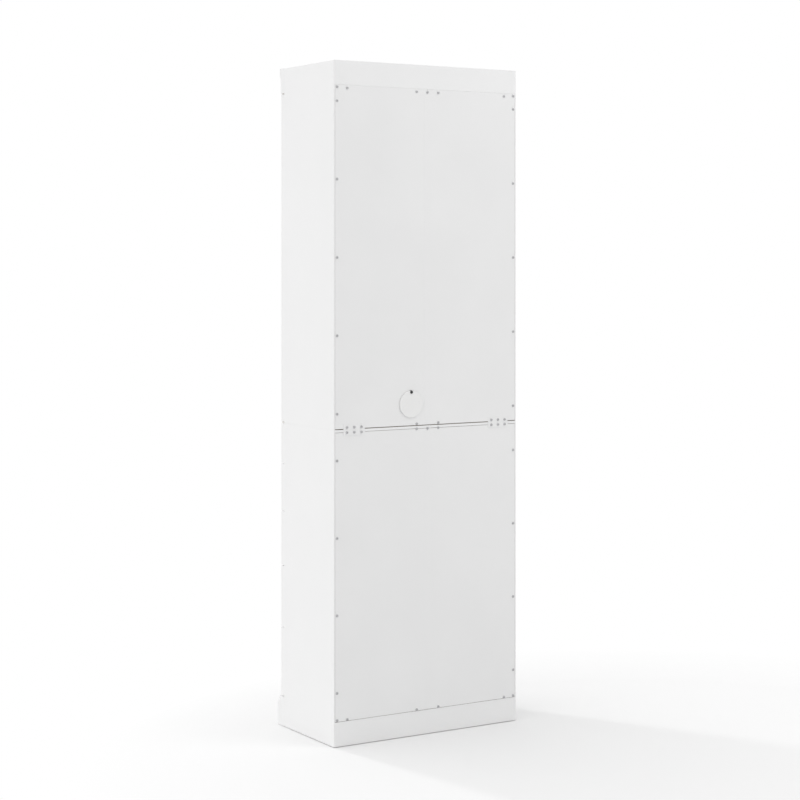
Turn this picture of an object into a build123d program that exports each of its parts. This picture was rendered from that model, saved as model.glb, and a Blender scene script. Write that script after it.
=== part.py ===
"""Tall two-section jewelry armoire: a stacked painted case, mirror doors above and five drawers below."""

from build123d import *
import os

os.makedirs("parts", exist_ok=True)

# Driving dimensions, in millimetres. +Z is up, the doors and drawers face -Y, and the origin is
# on the floor under the middle of everything the armoire spans, knobs and rear screws included.
width = 590.0
height = 1829.0
case_depth = 278.0
board = 16.0
hardboard = 3.0
front_board = 18.0
front_gap = 2.0
reveal = 3.0
ease = 0.8

glide_height = 1.5
glide_radius = 7.5
section_seam = 844.5
base_height = 83.0
bottom_panel_z = 62.0
upper_top_z = 1748.0
frieze_z = 1760.0

plinth_projection = 15.0
plinth_shoulder = 58.0
cornice_projection = 5.0
cornice_height = 27.0

drawer_count = 5
drawer_step = 20.0

shelf_setback = 45.0
shelf_heights = (1150.0, 1400.0)

screw_head_radius = 3.8
screw_head_height = 2.2
screw_shank_radius = 1.7
screw_length = 14.0
screw_clearance = 0.1
plate_thickness = 1.2

cover_radius = 36.5
cover_thickness = 3.0
cover_gap = 0.8
cable_hole_radius = 25.0
pivot_head_radius = 4.2
pivot_head_height = 2.4
running_clearance = 0.05
knob_projection = 24.0

# Depths, worked out from the rear edges of the case. The knobs reach furthest forward and the
# head of the cable cover's screw furthest back.
cover_stack = cover_gap + cover_thickness + 0.1
rear_reach = cover_stack + pivot_head_height
front_reach = case_depth + front_gap + front_board + knob_projection
rear = (front_reach + rear_reach) / 2 - rear_reach
case_front = rear - case_depth
front_back = case_front - front_gap
front_face = front_back - front_board
half_width = width / 2
inner_half = half_width - board
hardboard_inside = rear - hardboard


def facing_front(y):
    """An upright plane at depth y: its sketches are in X and Z, and it extrudes towards the front."""
    return Plane.XZ.offset(-y)


def facing_right(x):
    """An upright plane at x: its sketches are in Y and Z, and it extrudes towards +X."""
    return Plane.YZ.offset(x)


def save(part, label):
    part.label = label
    export_step(part, f"parts/{label}.step")


def span_rectangle(a, b):
    """A rectangle from one span to another, as (low, high) pairs of the sketch's own axes."""
    with Locations(((a[0] + a[1]) / 2, (b[0] + b[1]) / 2)):
        Rectangle(a[1] - a[0], b[1] - b[0])


def mirrored(points):
    """The points, and the same points on the other side of the middle."""
    return points + [(-x, z) for x, z in points if x]


# ---------------------------------------------------------------------------
# The backs sit flush in seats cut into the rear of the case, inside a narrow lip
# ---------------------------------------------------------------------------
back_lip = 3.5
seat_x = (-half_width + back_lip, half_width - back_lip)
lower_seat_z = (bottom_panel_z + 5.1, section_seam - 7.0)
upper_seat_z = (section_seam, upper_top_z + board)
back_edge_x = seat_x[1] - 0.3
lower_back_z = (lower_seat_z[0] + 0.8, lower_seat_z[1] - 0.8)
upper_back_z = (upper_seat_z[0] + 2.2, upper_seat_z[1] - 0.1)
fold_gap = 0.4

# ---------------------------------------------------------------------------
# Where the fasteners go: X and Z on the rear face of the case
# ---------------------------------------------------------------------------
edge_screw_x = half_width - (back_lip + board) / 2
upper_side_screws = [(edge_screw_x, 887.0 + 208.4 * i) for i in range(5)]
upper_side_screws.append((edge_screw_x, upper_top_z + board / 2 + 2))
lower_side_screws = [(edge_screw_x, 144.5 + 206.0 * i) for i in range(4)]
lower_side_screws.append((edge_screw_x, bottom_panel_z + board / 2 + 2))
panel_screw_xs = (35.0, 254.0)
upper_top_screws = [(x, upper_top_z + board / 2) for x in (0.0, *panel_screw_xs)]
upper_bottom_screws = [(35.0, section_seam + 6.0)]
lower_bottom_screws = [(x, bottom_panel_z + board / 2 + 1) for x in panel_screw_xs]

# The screws just under the seam stand on the hardboard's edge, which their heads clamp. Those at X 0 hold
# both leaves at the fold.
lower_top_screws = [(x, lower_back_z[1]) for x in (0.0, 35.0)]

plate_x = 233.0
plate_pitch = 22.5
plate_row = 6.8
plate_z = lower_back_z[1] + plate_row
plate_columns = [plate_x + plate_pitch * i for i in (-1, 0, 1)]
plate_upper_screws = [(x, plate_z + plate_row) for x in plate_columns]
plate_lower_screws = [(x, plate_z - plate_row) for x in plate_columns]

cable_hole = (54.0, 904.5)
cover_pivot = (cable_hole[0], cable_hole[1] + 33.0)


def drill_rear(points, start, depth, radius):
    """Holes drilled forward from the depth start, in the part being built."""
    with BuildSketch(facing_front(start)) as holes:
        with Locations(*points):
            Circle(radius)
    extrude(holes.sketch, amount=depth, mode=Mode.SUBTRACT)


def cut_back_seats():
    """Takes the seats of the two backs out of the rear of the part being built."""
    with BuildSketch(facing_front(rear)) as seats:
        span_rectangle(seat_x, lower_seat_z)
        span_rectangle(seat_x, upper_seat_z)
    extrude(seats.sketch, amount=hardboard, mode=Mode.SUBTRACT)


def panel(label, x, y, z, rear_screws=(), seated_backs=False):
    """A flat case panel between the given spans, drilled for the screws that enter its rear edge."""
    with BuildPart() as piece:
        with BuildSketch(Plane.XY.offset(z[0])):
            span_rectangle(x, y)
        extrude(amount=z[1] - z[0])
        if seated_backs:
            cut_back_seats()
        if rear_screws:
            drill_rear(rear_screws, rear, screw_length, screw_shank_radius + screw_clearance)
    save(piece.part, label)


# ---------------------------------------------------------------------------
# Case sides: one panel a side in each section, with shelf pin holes in the upper pair
# ---------------------------------------------------------------------------
pin_radius = 2.5
pin_depth = 9.0
pin_pitch = 32.0
pin_rows = (-2, -1, 0, 1, 2)
shelf_pin_z = shelf_heights[1] - pin_radius
shelf_pin_ys = (rear - 40.0, case_front + shelf_setback + 30.0)


def side_panel(label, side, z, screws, pin_holes):
    outer = side * half_width
    with BuildPart() as piece:
        with BuildSketch(Plane.XY.offset(z[0])):
            span_rectangle(sorted((outer, side * inner_half)), (case_front, rear))
        extrude(amount=z[1] - z[0])
        outer_face = piece.faces().sort_by(Axis.X)[-1 if side > 0 else 0]
        eased = [edge for edge in outer_face.edges() if abs(edge.center().Z - section_seam) > board]
        fillet(eased, radius=ease)
        cut_back_seats()
        drill_rear([(side * x, screw_z) for x, screw_z in screws], rear, screw_length,
                   screw_shank_radius + screw_clearance)
        if pin_holes:
            with BuildSketch(facing_right(side * inner_half)):
                with Locations(*[(y, shelf_pin_z + pin_pitch * i) for y in shelf_pin_ys for i in pin_rows]):
                    Circle(pin_radius + running_clearance)
            extrude(amount=side * pin_depth, mode=Mode.SUBTRACT)
    save(piece.part, label)


for side_name, side in (("left", -1), ("right", 1)):
    side_panel(f"lower_{side_name}_side", side, (glide_height, section_seam),
               lower_side_screws, False)
    side_panel(f"upper_{side_name}_side", side, (section_seam, height), upper_side_screws, True)

# ---------------------------------------------------------------------------
# Case panels and rails
# ---------------------------------------------------------------------------
inner_x = (-inner_half, inner_half)
full_x = (-half_width, half_width)
case_y = (case_front, rear)

panel("lower_bottom_panel", inner_x, case_y, (bottom_panel_z, bottom_panel_z + board),
      mirrored(lower_bottom_screws), seated_backs=True)
panel("lower_top_panel", inner_x, case_y, (section_seam - board, section_seam),
      mirrored(lower_top_screws + plate_lower_screws), seated_backs=True)
panel("upper_bottom_panel", inner_x, case_y, (section_seam, section_seam + board),
      mirrored(upper_bottom_screws + plate_upper_screws), seated_backs=True)
panel("upper_top_panel", inner_x, case_y, (upper_top_z, upper_top_z + board),
      mirrored(upper_top_screws), seated_backs=True)
panel("rear_base_rail", inner_x, (rear - board, rear), (glide_height, bottom_panel_z))
panel("rear_crown_rail", inner_x, (rear - board, rear), (upper_top_z + board, height))
panel("outer_top_panel", inner_x, (case_front, rear - board), (height - board, height))
panel("lower_shelf", inner_x, (case_front + shelf_setback, hardboard_inside),
      (shelf_heights[0], shelf_heights[0] + board))

# The upper shelf is loose on its pins, so it is a little shorter than the case is wide inside.
panel("upper_shelf", (-inner_half + 1.0, inner_half - 1.0),
      (case_front + shelf_setback, hardboard_inside - 2.0),
      (shelf_heights[1], shelf_heights[1] + board))

with BuildPart() as shelf_pins:
    for side in (-1, 1):
        with BuildSketch(facing_right(side * (inner_half + pin_depth - 0.5))):
            with Locations(*[(y, shelf_pin_z) for y in shelf_pin_ys]):
                Circle(pin_radius)
        extrude(amount=-side * 2 * pin_depth)
save(shelf_pins.part, "shelf_pins")

# ---------------------------------------------------------------------------
# Base front and top front: plain boards with a moulding in front of each
# ---------------------------------------------------------------------------


def front_rail(label, z):
    with BuildPart() as piece:
        with BuildSketch(Plane.XY.offset(z[0])):
            span_rectangle(full_x, (front_face, case_front))
        extrude(amount=z[1] - z[0])
        fillet(piece.faces().filter_by(Axis.X).edges().filter_by(Axis.Z), radius=ease / 2)
    save(piece.part, label)


front_rail("front_base_rail", (glide_height, base_height))
front_rail("front_frieze", (frieze_z, height))

plinth_face = front_face - plinth_projection
plinth_lip = 4.0
plinth_curve = 17.0
with BuildPart() as plinth_moulding:
    with BuildSketch(facing_right(-half_width)):
        with BuildLine():
            lip = (front_face - plinth_lip, base_height)
            bend = (front_face - (plinth_lip + plinth_projection) / 2, (base_height + plinth_shoulder) / 2)
            shoulder = (plinth_face, plinth_shoulder)
            Polyline(shoulder, (plinth_face, glide_height), (front_face, glide_height),
                     (front_face, base_height), lip)
            RadiusArc(lip, bend, plinth_curve)
            RadiusArc(bend, shoulder, -plinth_curve)
        make_face()
    extrude(amount=width)
save(plinth_moulding.part, "plinth_moulding")

cornice_face = front_face - cornice_projection
cornice_bottom = height - cornice_height
with BuildPart() as cornice_moulding:
    with BuildSketch(facing_right(-half_width)):
        with BuildLine():
            cove_top = (cornice_face, cornice_bottom + cornice_projection)
            Polyline(cove_top, (cornice_face, height), (front_face, height), (front_face, cornice_bottom))
            RadiusArc((front_face, cornice_bottom), cove_top, cornice_projection)
        make_face()
    extrude(amount=width)
    top_edge = cornice_moulding.edges().filter_by(Axis.X).group_by(Axis.Z)[-1].sort_by(Axis.Y)[0]
    fillet(top_edge, radius=1.5)
save(cornice_moulding.part, "cornice_moulding")

with BuildPart() as floor_glides:
    with BuildSketch():
        for y in (front_face + 10.0, rear - 14.0):
            with Locations((-edge_screw_x, y), (edge_screw_x, y)):
                Circle(glide_radius)
    extrude(amount=glide_height)
    fillet(floor_glides.edges().filter_by(GeomType.CIRCLE).group_by(Axis.Z)[0], radius=0.8)
save(floor_glides.part, "floor_glides")

# ---------------------------------------------------------------------------
# Hardboard backs: each section's back is folded down its middle into two leaves
# ---------------------------------------------------------------------------


def back_leaf(label, side, z, screws, with_cable_hole):
    with BuildPart() as piece:
        with BuildSketch(facing_front(rear)):
            span_rectangle(sorted((side * fold_gap / 2, side * back_edge_x)), z)
            with Locations(*[(side * x, screw_z) for x, screw_z in screws]):
                Circle(screw_shank_radius + screw_clearance, mode=Mode.SUBTRACT)
            if with_cable_hole:
                with Locations(cable_hole):
                    Circle(cable_hole_radius, mode=Mode.SUBTRACT)
                with Locations(cover_pivot):
                    Circle(pin_radius, mode=Mode.SUBTRACT)
        extrude(amount=hardboard)
    save(piece.part, label)


lower_back_screws = lower_side_screws + lower_bottom_screws + lower_top_screws + plate_lower_screws
upper_back_screws = upper_side_screws + upper_top_screws + upper_bottom_screws + plate_upper_screws
for side_name, side in (("left", -1), ("right", 1)):
    back_leaf(f"lower_back_{side_name}_leaf", side, lower_back_z, lower_back_screws, False)
    back_leaf(f"upper_back_{side_name}_leaf", side, upper_back_z, upper_back_screws, side > 0)


def screw_group(label, points, seat):
    """Pan-head screws with their heads on the depth seat and their shanks towards the front."""
    with BuildPart() as group:
        with BuildSketch(facing_front(seat)):
            with Locations(*points):
                Circle(screw_head_radius)
        extrude(amount=-screw_head_height)
        fillet(group.edges().filter_by(GeomType.CIRCLE).group_by(Axis.Y)[-1], radius=1.4)
        with BuildSketch(facing_front(seat)):
            with Locations(*points):
                Circle(screw_shank_radius)
        extrude(amount=seat - rear + screw_length - 1.0)
    save(group.part, label)


leaf_screws = (lower_side_screws + lower_bottom_screws + lower_top_screws
               + upper_side_screws + upper_top_screws + upper_bottom_screws)
screw_group("back_screws", mirrored(leaf_screws), rear)

with BuildPart() as joining_plates:
    with BuildSketch(facing_front(rear)):
        with Locations((-plate_x, plate_z), (plate_x, plate_z)):
            RectangleRounded(66.0, 30.0, 3.0)
        with Locations(*mirrored(plate_upper_screws + plate_lower_screws)):
            Circle(screw_shank_radius + screw_clearance, mode=Mode.SUBTRACT)
    extrude(amount=-plate_thickness)
save(joining_plates.part, "joining_plates")
screw_group("joining_plate_screws", mirrored(plate_upper_screws + plate_lower_screws),
            rear + plate_thickness)

# ---------------------------------------------------------------------------
# Cable hole cover: a disc that hangs on one shouldered screw and swings aside
# ---------------------------------------------------------------------------
pivot_shank_radius = 2.0
with BuildPart() as cable_cover:
    with BuildSketch(facing_front(rear + cover_gap)):
        with Locations(cable_hole):
            Circle(cover_radius)
    extrude(amount=-cover_thickness)
    outer_rim = cable_cover.edges().filter_by(GeomType.CIRCLE).group_by(Axis.Y)[-1]
    fillet(outer_rim, radius=1.0)
    with BuildSketch(facing_front(rear + cover_gap + cover_thickness)):
        with Locations(cover_pivot):
            Circle(pivot_shank_radius + running_clearance)
    extrude(amount=cover_thickness, mode=Mode.SUBTRACT)
save(cable_cover.part, "cable_cover")

with BuildPart() as cover_screw:
    with BuildSketch(facing_front(rear + cover_stack)):
        with Locations(cover_pivot):
            Circle(pivot_head_radius)
    extrude(amount=-pivot_head_height)
    fillet(cover_screw.edges().filter_by(GeomType.CIRCLE).group_by(Axis.Y)[-1], radius=1.5)
    with BuildSketch(facing_front(rear + cover_stack)):
        with Locations(cover_pivot):
            Circle(pivot_shank_radius)
    extrude(amount=cover_stack + hardboard + 4.0)
    with BuildSketch(facing_front(hardboard_inside)):
        with Locations(cover_pivot):
            RegularPolygon(5.0, 6)
    extrude(amount=3.0)
    with BuildSketch(facing_front(rear + cover_gap - 0.1)):
        with Locations(cover_pivot):
            Circle(pivot_head_radius + 1.0)
    extrude(amount=cover_gap - 0.1)
save(cover_screw.part, "cover_pivot_screw")

# ---------------------------------------------------------------------------
# Doors: a framed mirror with a backing panel, turning on pins at its top and bottom edges
# ---------------------------------------------------------------------------
door_z = (section_seam + reveal, frieze_z - reveal)
door_x = (reveal / 2, half_width - reveal / 2)
stile = 55.0
rebate = 8.0
mirror_thickness = 4.0
backing_thickness = 4.0
lip_thickness = 8.0
glass_clearance = 0.5
glass_x = (door_x[0] + stile - rebate, door_x[1] - stile + rebate)
glass_z = (door_z[0] + stile - rebate, door_z[1] - stile + rebate)
hinge_x = door_x[1] - 5.0
hinge_y = front_back - 10.0
hinge_pin_radius = 2.0
hinge_pin_length = 9.0
hinge_bore_depth = 11.0
knob_height = door_z[0] + 230.0
knob_radius = 14.0
knob_dome = 5.0


def sided(side, span):
    """A span of X for the right-hand side, taken to the given side."""
    return sorted((side * span[0], side * span[1]))


def shrink(span, by):
    return (span[0] + by, span[1] - by)


def door_frame(label, side):
    with BuildPart() as frame:
        with BuildSketch(facing_front(front_back)):
            span_rectangle(sided(side, door_x), door_z)
        extrude(amount=front_board)
        front_edges = frame.faces().sort_by(Axis.Y)[0].edges()
        fillet(front_edges, radius=1.5)
        with BuildSketch(facing_front(front_back)):
            span_rectangle(sided(side, glass_x), glass_z)
        extrude(amount=front_board - lip_thickness, mode=Mode.SUBTRACT)
        with BuildSketch(facing_front(front_back)):
            span_rectangle(sided(side, shrink(glass_x, rebate)), shrink(glass_z, rebate))
        extrude(amount=front_board, mode=Mode.SUBTRACT)
        sight_edges = frame.faces().sort_by(Axis.Y)[0].inner_wires()[0].edges()
        chamfer(sight_edges, length=4.0)
        for edge_z, drill in ((door_z[0], hinge_bore_depth), (door_z[1], -hinge_bore_depth)):
            with BuildSketch(Plane.XY.offset(edge_z)):
                with Locations((side * hinge_x, hinge_y)):
                    Circle(hinge_pin_radius + running_clearance)
            extrude(amount=drill, mode=Mode.SUBTRACT)
    save(frame.part, label)


def sheet_in_frame(label, side, start, thickness):
    with BuildPart() as sheet:
        with BuildSketch(facing_front(start)):
            span_rectangle(sided(side, shrink(glass_x, glass_clearance)), shrink(glass_z, glass_clearance))
        extrude(amount=thickness)
    save(sheet.part, label)


def knobs(label, points):
    """Turned knobs on the front face: a stem with a foot, under a flat-rimmed domed head."""
    dome_radius = (knob_radius ** 2 + knob_dome ** 2) / (2 * knob_dome)
    with BuildPart() as group:
        for x, z in points:
            with BuildSketch(Plane(origin=(x, front_face, z), x_dir=(1, 0, 0), z_dir=(0, 0, 1))):
                with BuildLine():
                    rim = (knob_radius, -(knob_projection - knob_dome))
                    dome = (0.0, -knob_projection)
                    Polyline(dome, (0.0, 0.0), (7.0, 0.0), (7.0, -2.0), (4.0, -7.0),
                             (knob_radius, -15.0), rim)
                    RadiusArc(rim, dome, dome_radius)
                make_face()
            revolve(axis=Axis((x, front_face, z), (0, -1, 0)))
    save(group.part, label)


hook_rail_z = (1640.0, 1668.0)
hook_rail_thickness = 10.0
hook_length = 20.0
hook_radius = 2.0
hook_count = 6


def peg_row(points, start, length):
    """Straight pegs with ball ends, from the depth start towards the rear, or the front if negative."""
    with BuildSketch(facing_front(start)) as shanks:
        with Locations(*points):
            Circle(hook_radius)
    extrude(shanks.sketch, amount=-length)
    with Locations(*[(x, start + length, z) for x, z in points]):
        Sphere(2 * hook_radius)


def door_hook_rail(label, side):
    x = sided(side, (door_x[0] + stile / 2, door_x[1] - stile + rebate))
    pitch = (x[1] - x[0]) / hook_count
    with BuildPart() as rail:
        with BuildSketch(facing_front(front_back)):
            span_rectangle(x, hook_rail_z)
        extrude(amount=-hook_rail_thickness)
        peg_row([(x[0] + pitch * (i + 0.5), sum(hook_rail_z) / 2) for i in range(hook_count)],
                front_back + hook_rail_thickness, hook_length)
    save(rail.part, label)


for side_name, side in (("left", -1), ("right", 1)):
    door_frame(f"{side_name}_door_frame", side)
    sheet_in_frame(f"{side_name}_door_mirror", side, front_face + lip_thickness + mirror_thickness,
                   mirror_thickness)
    sheet_in_frame(f"{side_name}_door_backing", side,
                   front_face + lip_thickness + mirror_thickness + backing_thickness, backing_thickness)
    knobs(f"{side_name}_door_knob", [(side * (door_x[0] + stile / 2), knob_height)])
    door_hook_rail(f"{side_name}_door_hook_rail", side)

# Pivot brackets: flat plates under the frieze, and angle plates on the front edge at the seam.
bracket_plate = 2.0
collar_height = 0.8
bracket_x = (inner_half, door_x[1])
with BuildPart() as pivot_brackets:
    for side in (-1, 1):
        with BuildSketch(Plane.XY.offset(section_seam)):
            span_rectangle(sided(side, bracket_x), (front_face + 4.0, case_front))
        extrude(amount=bracket_plate)
        with BuildSketch(Plane.XY.offset(section_seam - board)):
            span_rectangle(sided(side, bracket_x), (case_front - 1.4, case_front))
        extrude(amount=board)
        with BuildSketch(Plane.XY.offset(frieze_z - bracket_plate)):
            span_rectangle(sided(side, bracket_x), (front_face + 4.0, case_front - 2.5))
        extrude(amount=bracket_plate)
        for plate_face, direction in ((section_seam + bracket_plate, 1), (frieze_z - bracket_plate, -1)):
            with BuildSketch(Plane.XY.offset(plate_face)):
                with Locations((side * hinge_x, hinge_y)):
                    Circle(2 * hinge_pin_radius)
            extrude(amount=direction * collar_height)
            with BuildSketch(Plane.XY.offset(plate_face)):
                with Locations((side * hinge_x, hinge_y)):
                    Circle(hinge_pin_radius)
            extrude(amount=direction * hinge_pin_length)
save(pivot_brackets.part, "door_pivot_brackets")

with BuildPart() as magnetic_catches:
    for side in (-1, 1):
        with BuildSketch(Plane.XY.offset(upper_top_z - 14.0)):
            span_rectangle(sided(side, (10.0, 50.0)), (case_front, case_front + 20.0))
        extrude(amount=14.0)
    fillet(magnetic_catches.edges().filter_by(Axis.Z), radius=2.0)
save(magnetic_catches.part, "magnetic_catches")

# ---------------------------------------------------------------------------
# Necklace bar: a rail across the top compartment, with a row of pegs
# ---------------------------------------------------------------------------
bar_z = (1690.0, 1725.0)
bar_pegs = 12
with BuildPart() as necklace_bar:
    with BuildSketch(facing_front(rear - 40.0)):
        span_rectangle(inner_x, bar_z)
    extrude(amount=12.0)
    peg_pitch = 2 * inner_half / bar_pegs
    peg_row([(-inner_half + peg_pitch * (i + 0.5), bar_z[0] + 12.0) for i in range(bar_pegs)],
            rear - 52.0, -30.0)
save(necklace_bar.part, "necklace_bar")

# ---------------------------------------------------------------------------
# Drawers: each taller than the one above it, running on strips screwed to the case sides
# ---------------------------------------------------------------------------
drawer_front_x = (-door_x[1], door_x[1])
stack_bottom = base_height + reveal
stack_top = section_seam - reveal
fronts_total = stack_top - stack_bottom - reveal * (drawer_count - 1)
first_height = fronts_total / drawer_count - drawer_step * (drawer_count - 1) / 2

box_side_gap = 2.0
box_wall = 14.0
box_depth = 254.0
box_bottom = 5.0
box_rise = 8.0
box_headroom = 22.0
runner_width = 9.0
runner_height = 12.0
runner_front = case_front + 24.0
runner_rear = rear - 12.0
groove_play = 0.4
groove_depth = 8.0
groove_front = front_back + 25.0
box_half = inner_half - box_side_gap
box_y = (front_back, front_back + box_depth)


def drawer_front(label, z):
    with BuildPart() as front:
        with BuildSketch(facing_front(front_back)):
            span_rectangle(drawer_front_x, z)
        extrude(amount=front_board)
        fillet(front.faces().sort_by(Axis.Y)[0].edges(), radius=1.5)
    save(front.part, label)


def drawer_box(label, z, runner_z):
    with BuildPart() as box:
        with BuildSketch(Plane.XY.offset(z[0])):
            span_rectangle((-box_half, box_half), box_y)
        extrude(amount=z[1] - z[0])
        with BuildSketch(Plane.XY.offset(z[0] + box_bottom)):
            span_rectangle((-box_half + box_wall, box_half - box_wall), shrink(box_y, box_wall))
        extrude(amount=z[1] - z[0], mode=Mode.SUBTRACT)
        for side in (-1, 1):
            with BuildSketch(facing_right(side * box_half)):
                span_rectangle((groove_front, box_y[1]),
                               (runner_z - groove_play, runner_z + runner_height + groove_play))
            extrude(amount=-side * groove_depth, mode=Mode.SUBTRACT)
    save(box.part, label)


knob_x = 150.0
front_top = stack_top
drawer_boxes = []
runner_levels = []
for number in range(1, drawer_count + 1):
    front_bottom = front_top - first_height - drawer_step * (number - 1)
    box_z = (front_bottom + box_rise, front_top - box_headroom)
    runner_level = (box_z[0] + box_z[1] - runner_height) / 2
    drawer_front(f"drawer_{number}_front", (front_bottom, front_top))
    drawer_box(f"drawer_{number}_box", box_z, runner_level)
    front_middle = (front_bottom + front_top) / 2
    knobs(f"drawer_{number}_knobs", [(-knob_x, front_middle), (knob_x, front_middle)])
    drawer_boxes.append(box_z)
    runner_levels.append(runner_level)
    front_top = front_bottom - reveal

with BuildPart() as drawer_runners:
    for level in runner_levels:
        with BuildSketch(Plane.XY.offset(level)):
            for side in (-1, 1):
                span_rectangle(sided(side, (inner_half - runner_width, inner_half)), (runner_front, runner_rear))
        extrude(amount=runner_height)
save(drawer_runners.part, "drawer_runners")

# The top drawer holds a pad of ring rolls, and the second a tray of small compartments.
insert_x = (-box_half + box_wall + 1.0, box_half - box_wall - 1.0)
insert_y = shrink(box_y, box_wall + 1.0)
ring_pad_height = 28.0
with BuildPart() as ring_pad:
    with BuildSketch(Plane.XY.offset(drawer_boxes[0][0] + box_bottom)):
        span_rectangle(insert_x, insert_y)
    extrude(amount=ring_pad_height)
save(ring_pad.part, "ring_roll_pad")

tray_wall = 5.0
tray_height = 34.0
tray_columns = 3
tray_rows = 2
tray_size = (insert_x[1] - insert_x[0], insert_y[1] - insert_y[0])
pocket = ((tray_size[0] - tray_wall * (tray_columns + 1)) / tray_columns,
          (tray_size[1] - tray_wall * (tray_rows + 1)) / tray_rows)
with BuildPart() as compartment_tray:
    tray_floor = drawer_boxes[1][0] + box_bottom
    with BuildSketch(Plane.XY.offset(tray_floor)):
        span_rectangle(insert_x, insert_y)
    extrude(amount=tray_height)
    with BuildSketch(Plane.XY.offset(tray_floor + tray_wall)):
        with Locations((0.0, sum(insert_y) / 2)):
            with GridLocations(pocket[0] + tray_wall, pocket[1] + tray_wall, tray_columns, tray_rows):
                Rectangle(*pocket)
    extrude(amount=tray_height, mode=Mode.SUBTRACT)
save(compartment_tray.part, "compartment_tray")
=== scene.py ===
"""Mirror-door jewelry armoire: the finishes of its parts, its fixings and its soft linings."""

import math
from contextlib import contextmanager

import bmesh
import bpy
from bpy.props import FloatProperty, FloatVectorProperty, IntProperty, PointerProperty
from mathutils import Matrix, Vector


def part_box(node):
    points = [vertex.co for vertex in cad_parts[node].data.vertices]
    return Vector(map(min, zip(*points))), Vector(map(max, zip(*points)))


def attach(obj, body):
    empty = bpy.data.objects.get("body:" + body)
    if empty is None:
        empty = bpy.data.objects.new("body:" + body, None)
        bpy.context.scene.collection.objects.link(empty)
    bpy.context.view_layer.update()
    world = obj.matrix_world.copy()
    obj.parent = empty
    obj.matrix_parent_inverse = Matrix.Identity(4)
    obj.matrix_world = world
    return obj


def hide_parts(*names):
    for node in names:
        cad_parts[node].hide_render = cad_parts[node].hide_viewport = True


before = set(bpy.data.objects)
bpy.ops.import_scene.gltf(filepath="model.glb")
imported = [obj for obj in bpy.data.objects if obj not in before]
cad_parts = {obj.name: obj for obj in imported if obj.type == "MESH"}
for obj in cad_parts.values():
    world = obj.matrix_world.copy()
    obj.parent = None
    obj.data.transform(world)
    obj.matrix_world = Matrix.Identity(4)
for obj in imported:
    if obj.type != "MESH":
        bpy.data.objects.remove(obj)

bl_info = {
    "name": "Mirror-Door Jewelry Armoire",
    "version": (1, 0, 0),
    "blender": (4, 5, 0),
    "location": "3D View > Sidebar > Armoire",
    "description": "Finishes, fixings and soft linings for a two-section jewelry armoire",
    "category": "Object",
}

MM = 0.001
BACK_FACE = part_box("upper_back_right_leaf")[1].y
DOOR_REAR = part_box("left_door_frame")[1].y
CASE_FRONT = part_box("lower_top_panel")[0].y
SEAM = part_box("upper_bottom_panel")[0].z
CASE_HALF_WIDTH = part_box("upper_right_side")[1].x

# Screws up the sides of the backs, in millimetres: the first one's height, the pitch and the count
UPPER_EDGE_ROW = (42.5, 208.4, 5)
LOWER_EDGE_ROW = (144.5, 206, 4)
# Screws along the case panels: how far out they are, and how far above the panel's lower face or the seam
PANEL_SCREWS = (35 * MM, 254 * MM)
CORNER_RISE = 10 * MM
TOP_ROW_RISE = 8 * MM
BOTTOM_ROW_RISE = 9 * MM
SEAM_ROW_RISE = 6 * MM
# Joining plates: half their length, and how far apart their screws are along and across
PLATE_HALF_LENGTH = 33 * MM
PLATE_PITCH = 22.5 * MM
PLATE_ROW = 6.8 * MM

FACING_REAR = (-math.pi / 2, 0.0, 0.0)
DRAWERS = (1, 2, 3, 4, 5)
LINED_DRAWERS = DRAWERS[2:]


# --------------------------------------
# Sizes and colours
# --------------------------------------
def colour(name, description, value):
    return FloatVectorProperty(name=name, description=description, subtype="COLOR", size=4,
                               min=0.0, max=1.0, default=(*value, 1.0))


def length(name, description, value):
    return FloatProperty(name=name, description=description, subtype="DISTANCE", unit="LENGTH",
                         min=0.0, default=value)


def power(name, description, value):
    return FloatProperty(name=name, description=description, subtype="POWER", unit="POWER", min=0.0,
                         default=value)


def spot(name, description, value):
    return FloatVectorProperty(name=name, description=description, subtype="XYZ", unit="LENGTH", size=3,
                               default=value)


class ArmoireFinishes(bpy.types.PropertyGroup):
    paint: colour("Board paint", "Satin white on the case, doors and drawer fronts", (0.855, 0.855, 0.855))
    hardboard: colour("Back paint", "White coat on the hardboard backs", (0.833, 0.833, 0.833))
    raw_edge: colour("Raw edge", "Sawn edge of the hardboard and cut seats of the case", (0.42, 0.37, 0.31))
    zinc: colour("Zinc", "Plated screws, shelf pins and strike plates", (0.56, 0.56, 0.57))
    powder_coat: colour("Powder coat", "White steel joining plates", (0.835, 0.835, 0.835))
    black_oxide: colour("Black oxide", "Screw of the cable hole cover", (0.025, 0.025, 0.027))
    plastic: colour("White plastic", "Moulded glides, catches and cable cover", (0.84, 0.84, 0.835))
    nickel: colour("Nickel", "Brushed knobs and pegs", (0.66, 0.63, 0.58))
    silvering: colour("Silvering", "Back coat of the mirrors", (0.9, 0.915, 0.91))
    birch_light: colour("Birch, pale", "Early wood of the drawer boxes", (0.76, 0.62, 0.44))
    birch_dark: colour("Birch, dark", "Late wood of the drawer boxes", (0.62, 0.46, 0.29))
    runner_light: colour("Runner wood, pale", "Early wood of the drawer runners", (0.56, 0.38, 0.23))
    runner_dark: colour("Runner wood, dark", "Late wood of the drawer runners", (0.4, 0.25, 0.14))
    velvet: colour("Velvet", "Ring rolls, linings and door backs", (0.2, 0.2, 0.225))
    velvet_sheen: colour("Velvet, painted sheen", "Velvet where its pile catches the light", (0.33, 0.33, 0.36))
    tape: colour("Fold tape", "Vinyl tape over the fold of the backs", (0.833, 0.833, 0.833))


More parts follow.
